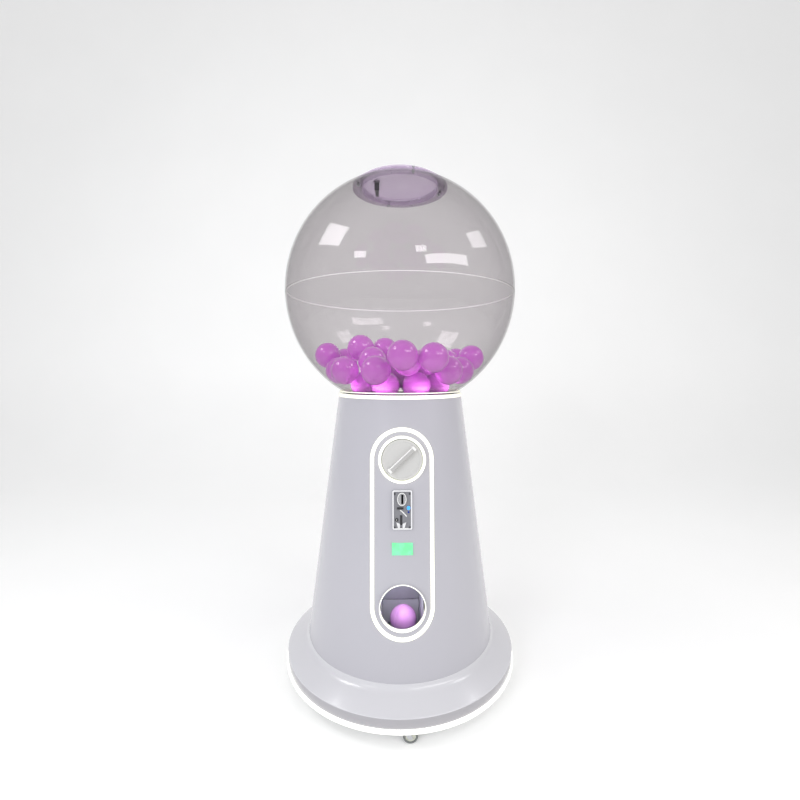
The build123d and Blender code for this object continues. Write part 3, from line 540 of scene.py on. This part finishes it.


# Outlet. A lit ring in a painted bezel frames a folded steel pocket. A fixed plate and a hanging vinyl
# flap close its back, where the ramp from the drum opens. The flap is painted paler than the plate as
# painted light on the lower part of the pocket.
outlet_frame = front_plane(outlet_z)
ring_inner, ring_split, ring_outer, ring_back = 0.0738, 0.0764, 0.079, -0.018
turned_ring("outlet_lamp", ring_inner, ring_split, ring_back, 0.0036, 0.0012, lamp, "cabinet", outlet_frame,
            replaces=["outlet_ring"], slot="light_white")
turned_ring("outlet_bezel", ring_split, ring_outer, ring_back, 0.0020, 0.0009, pearl, "cabinet", outlet_frame,
            slot="body_white")
liner = satin("pocket_liner", (0.30, 0.295, 0.355), 0.45, 0.0, 30.0)
liner.on("outlet_bin", "capsule_ramp", "drop_chute")
pocket_low, pocket_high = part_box("outlet_bin")
flap_top, gap, margin, back_y = pocket_low.z + 0.0975, 0.003, 0.005, pocket_high.y - 0.0042
# Painted light: the flap's grey is a paler copy of the liner's, for the lighter lower part of the pocket.
flap_painted_light = satin("flap_vinyl_painted_light", (0.46, 0.455, 0.52), 0.35, 0.0, 40.0)
for name, finish, low_z, high_z in (("pocket_back_plate", liner, flap_top + gap, pocket_high.z - margin),
                                    ("ramp_flap", flap_painted_light, pocket_low.z + margin, flap_top)):
    soft_block(name, (0.136, 0.0009, high_z - low_z), Matrix.Translation((0, back_y, (low_z + high_z) / 2)),
               0.0003, finish, "cabinet", slot="liner_grey")


# Drum and inner works. The zinc-plated drum holds a moulded wheel with deep pockets, turned by a gear
# motor under its floor; the moulded control box, the steel cash box and the black coin tube are screwed
# or slid in below.
zinc.on("hopper_drum", "exit_guard", "wheel_shaft", "gear_motor", "cash_box")
satin("wheel_plastic", (0.5, 0.49, 0.56), 0.4, 0.0, 60.0).on("dispense_wheel", "spreader_cap", "control_box")
black.on("coin_tube")


# Capsules. Each is two thin shells of orchid-pink polypropylene that snap together at a raised seam. Most
# lie in the globe, some in the pockets of the wheel, and one in the outlet, painted paler as painted lamp
# light from the ring.
capsule = Finish("orchid_capsule", (0.78, 0.12, 0.90), Coat_Weight=1.0, Coat_Roughness=0.04, Coat_IOR=1.75)
swirl = capsule.grain(14.0, 2.0)
capsule.feed(Roughness=swirl * 0.10 + 0.16)
capsule.tone(swirl, (0.83, 0.12, 0.88), (0.93, 0.21, 0.96))
capsule.bump(capsule.grain(500.0, 1.0), 0.00002, 0.3)
# Painted light: a paler copy of the capsule colour for the one in the outlet, lit by the ring.
painted_lit_capsule = Finish("orchid_painted_lamp_light", (0.80, 0.34, 0.86), Coat_Weight=1.0, Coat_Roughness=0.06)
pale_swirl = painted_lit_capsule.grain(30.0, 2.0)
painted_lit_capsule.feed(Roughness=pale_swirl * 0.1 + 0.2)
painted_lit_capsule.tone(pale_swirl, (0.76, 0.31, 0.84), (0.84, 0.44, 0.89))


def ball_middles(part):
    """Middles of the separate balls in one carried-over part."""
    mesh = part.data
    parent = list(range(len(mesh.vertices)))

    def root(i):
        while parent[i] != i:
            parent[i] = parent[parent[i]]
            i = parent[i]
        return i

    for edge in mesh.edges:
        parent[root(edge.vertices[0])] = root(edge.vertices[1])
    groups = {}
    for vertex in mesh.vertices:
        groups.setdefault(root(vertex.index), []).append(vertex.co)
    boxes = []
    for members in groups.values():
        low, high = (Vector([pick(c[axis] for c in members) for axis in range(3)]) for pick in (min, max))
        boxes.append(((low + high) / 2, (high - low).length))
    widest = max(size for middle, size in boxes)
    made = []
    for middle, size in boxes:
        if size > 0.8 * widest and all((middle - other).length > 0.01 for other in made):
            made.append(middle)
    return made


ball_radius, seam_edge, arc_points, ball_steps = 0.05, 0.0022, 40, 56
arc = [(ball_radius * math.sin(math.pi * i / arc_points), ball_radius * math.cos(math.pi * i / arc_points))
       for i in range(1, arc_points)]
seam = [(0.04992, 0.0020), (0.04930, 0.0014), (0.04930, -0.0002), (0.04996, -0.0006), (0.04992, -0.0020)]
profile = [(0.0, ball_radius)] + [p for p in arc if p[1] > seam_edge] + seam \
    + [p for p in arc if p[1] < -seam_edge] + [(0.0, -ball_radius)]
for part_name, body in (("stock_capsules", "cabinet"), ("loaded_capsules", "dispense_wheel")):
    points, faces = [], []
    for i, spot in enumerate(ball_middles(node[part_name])):
        tumble = Matrix.Rotation(2.4 * i, 4, "Z") @ Matrix.Rotation(0.5 + 1.7 * i, 4, "X") \
            @ Matrix.Rotation(0.9 * i, 4, "Y")
        ball_points, ball_faces = lathe(profile, Matrix.Translation(spot) @ tumble, ball_steps, closed=False)
        # The capsule in the outlet gets the paler finish, as painted lamp light.
        if spot.z < pocket_high.z:
            add_mesh("served_ball", ball_points, ball_faces, painted_lit_capsule, "cabinet", (), "capsule_purple")
            continue
        shift = len(points)
        points += ball_points
        faces += [tuple(corner + shift for corner in face) for face in ball_faces]
    add_mesh(part_name.replace("capsules", "balls"), points, faces, capsule, body, [part_name],
             "capsule_purple")


# Globe. Two blow-moulded clear acrylic half globes on a welded seam, which scatters light as a fine white
# line; that line is painted as a glow, as the weld has no lamp of its own. The lower one has a foot flange
# that eight screws hold down on a black rubber seal.
def see_through(finish, tint, amount):
    """Lets light through, so that the finish covers only the given amount of the surface."""
    passing = finish.add("BsdfTransparent", Color=(*tint, 1))
    mixed = finish.add("MixShader", Fac=amount, i1=passing, i2=Value(finish.shader.outputs[0]))
    finish.tree.links.new(mixed.socket, finish.output.inputs["Surface"])
    return finish


def clear(name, tint, edge_color, density=0.0):
    """Clear sheet: see-through, with a mirror gloss that grows where it is seen edge-on, and a mirror tint
    that is painted darker towards its edges as a painted dark rim.
    """
    finish = Finish(name, edge_color)
    scuff, edge = finish.grain(5.0, 3.0), finish.edge()
    # Painted dark rim: the mirror tint darkens to a fifth where the sheet is seen edge-on.
    painted_dark_rim = finish.add("ValToRGB", {"ramp": [(0.3, edge_color), (0.9, shade(edge_color, 0.2))]}, Fac=edge)
    finish.feed(Roughness=scuff * 0.03 + 0.01, Metallic=1.0 - edge ** 6.0, Base_Color=painted_dark_rim)
    gloss = edge ** 3.0 * 0.22 + edge ** 14.0 * 0.72 + scuff * 0.012 + (0.085 + density)
    return see_through(finish, tint, gloss)


clear("clear_acrylic", (0.920, 0.908, 0.913), (0.38, 0.37, 0.38)).on("lower_globe", "upper_globe")
zinc.on("globe_screws")
black.on("globe_seal")
# Painted glow: the weld has no lamp, and the lamp finish paints its fine white line as light.
weld = glowing("seam_weld_painted_glow", (0.9, 0.9, 0.92), 0.70, (0.9, 0.9, 0.91))
seam_low, seam_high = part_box("globe_seam_strip")
seam_z = (seam_low.z + seam_high.z) / 2
turned_ring("globe_seam_weld", seam_high.x - 0.0016, seam_high.x, seam_z - 0.0018, seam_z + 0.0009, 0.0005,
            weld, "cabinet", replaces=["globe_seam_strip"], slot="clear_acrylic")


# Filler lid. A milky lilac acrylic lid lies on a bolted collar of the same sheet in the top of the globe,
# with a plated hinge on one side and a black key cam on the other.
milky = Finish("lilac_acrylic", (0.78, 0.69, 0.84), Coat_Weight=0.4)
cloud = milky.grain(9.0, 2.0)
milky.tone(cloud, (0.75, 0.65, 0.81), (0.82, 0.74, 0.87))
milky.feed(Roughness=cloud * 0.08 + 0.12)
see_through(milky, (0.93, 0.88, 0.95), milky.edge() ** 3.0 * 0.35 + cloud * 0.06 + 0.27)
milky.on("filler_collar", "filler_lid")
zinc.on("lid_hinge")
black.on("lid_lock_barrel", "lid_lock_cam")


# Neck light. A lit silicone bead round the top of the cone, a clear band above it and a fine lit line
# where the band meets the globe.
neck_inner, bead_top, line_foot = neck_high.x - 0.0097, neck_low.z + 0.0125, neck_high.z - 0.003
turned_ring("neck_lamp", neck_inner, neck_high.x, neck_low.z, bead_top, 0.003, lamp, "cabinet",
            replaces=["neck_light_ring"], slot="light_white")
seam_clear = clear("bonded_seam", (0.985, 0.985, 0.985), (0.95, 0.95, 0.97), 0.02)
turned_ring("neck_band", neck_inner, neck_high.x - 0.003, bead_top, line_foot, 0.0005, seam_clear,
            "cabinet", slot="clear_acrylic")
turned_ring("neck_line", neck_inner, neck_high.x - 0.004, line_foot, neck_high.z, 0.001, lamp, "cabinet",
            slot="light_white")


# Studio. A pale paper floor runs up into a backdrop under a wide soft sky. Ceiling panels are mirrored in
# the globe, two large soft panels fill the front, and small lamps stand for the glow of the lit rings.
world = bpy.data.worlds.new("studio")
bpy.context.scene.world = world
world.use_nodes = True
sky = world.node_tree.nodes["Background"]
sky.inputs["Color"].default_value = (1, 1, 1, 1)
sky.inputs["Strength"].default_value = 0.55
reach, back, wall, bend, bend_steps = 7.0, 3.5, 8.0, 1.2, 8
sweep = [(-reach, 0.0)]
for step in range(bend_steps + 1):
    angle = step * math.pi / 2 / bend_steps
    sweep.append((back - bend + bend * math.sin(angle), bend - bend * math.cos(angle)))
sweep.append((back, wall))
floor_mesh = bpy.data.meshes.new("floor")
floor_mesh.from_pydata([(x, y, z) for y, z in sweep for x in (-reach, reach)], [],
                       [(2 * i, 2 * i + 1, 2 * i + 3, 2 * i + 2) for i in range(len(sweep) - 1)])
for face in floor_mesh.polygons:
    face.use_smooth = True
floor = bpy.data.objects.new("floor", floor_mesh)
bpy.context.scene.collection.objects.link(floor)
paper = Finish("backdrop_paper", (0.9, 0.9, 0.9), Roughness=0.9, Emission_Strength=0.16)
paper.shader.inputs["Emission Color"].default_value = (1, 1, 1, 1)
paper_tones = {"ramp": [(0.0, (0.88, 0.88, 0.88)), (1.0, (0.92, 0.92, 0.92))]}
paper.feed(Base_Color=paper.add("ValToRGB", paper_tones, Fac=paper.grain(2.0)))
floor_mesh.materials.append(paper.material)


def panel(name, place, target, width, height, power, mirrored=False, color=(1, 1, 1)):
    """A rectangular soft light aimed at a point, which the gloss mirrors or not."""
    data = bpy.data.lights.new(name, "AREA")
    data.shape, data.size, data.size_y, data.energy, data.color = "RECTANGLE", width, height, power, color
    made = bpy.data.objects.new(name, data)
    bpy.context.scene.collection.objects.link(made)
    made.location = place
    made.rotation_euler = (Vector(target) - Vector(place)).to_track_quat("-Z", "Y").to_euler()
    made.visible_glossy = mirrored
    made.visible_camera = False


globe_middle = (0, 0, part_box("lower_globe")[1].z)
for name, place, width, height, power in (("ceiling_left", (-2.46, -0.70, 3.51), 1.3, 0.85, 24),
                                          ("ceiling_right", (2.05, -2.36, 2.68), 2.3, 0.45, 20),
                                          ("ceiling_side", (2.65, -0.40, 3.31), 1.0, 0.6, 10),
                                          ("ceiling_front", (0.88, -2.82, 3.09), 0.5, 0.3, 3),
                                          ("ceiling_far", (-1.85, -2.45, 2.84), 0.6, 0.3, 4)):
    panel(name, place, globe_middle, width, height, power, mirrored=True)
panel("front_fill", (-2.4, -3.6, 2.2), (0, 0, 0.8), 1.8, 2.2, 58, color=(0.94, 0.965, 1.0))
panel("right_fill", (3.2, -2.4, 1.8), (0, 0, 0.8), 1.6, 2.0, 18, color=(1.0, 0.965, 0.93))
glow_count, glow_radius, glow_z = 8, neck_high.x - 0.02, neck_high.z + 0.006
for step in range(glow_count):
    angle = 2 * math.pi * (step + 0.5) / glow_count
    across = Vector((math.cos(angle), math.sin(angle), 0)) * glow_radius
    panel(f"neck_glow_{step}", across + Vector((0, 0, glow_z)), across * 0.55 + Vector((0, 0, glow_z + 0.12)),
          0.1, 0.012, 0.055, color=(1.0, 0.93, 1.0))
panel("pocket_light", (0, pocket_low.y + 0.09, pocket_high.z - 0.012), (0, pocket_low.y + 0.13, pocket_low.z),
      0.1, 0.03, 0.42)
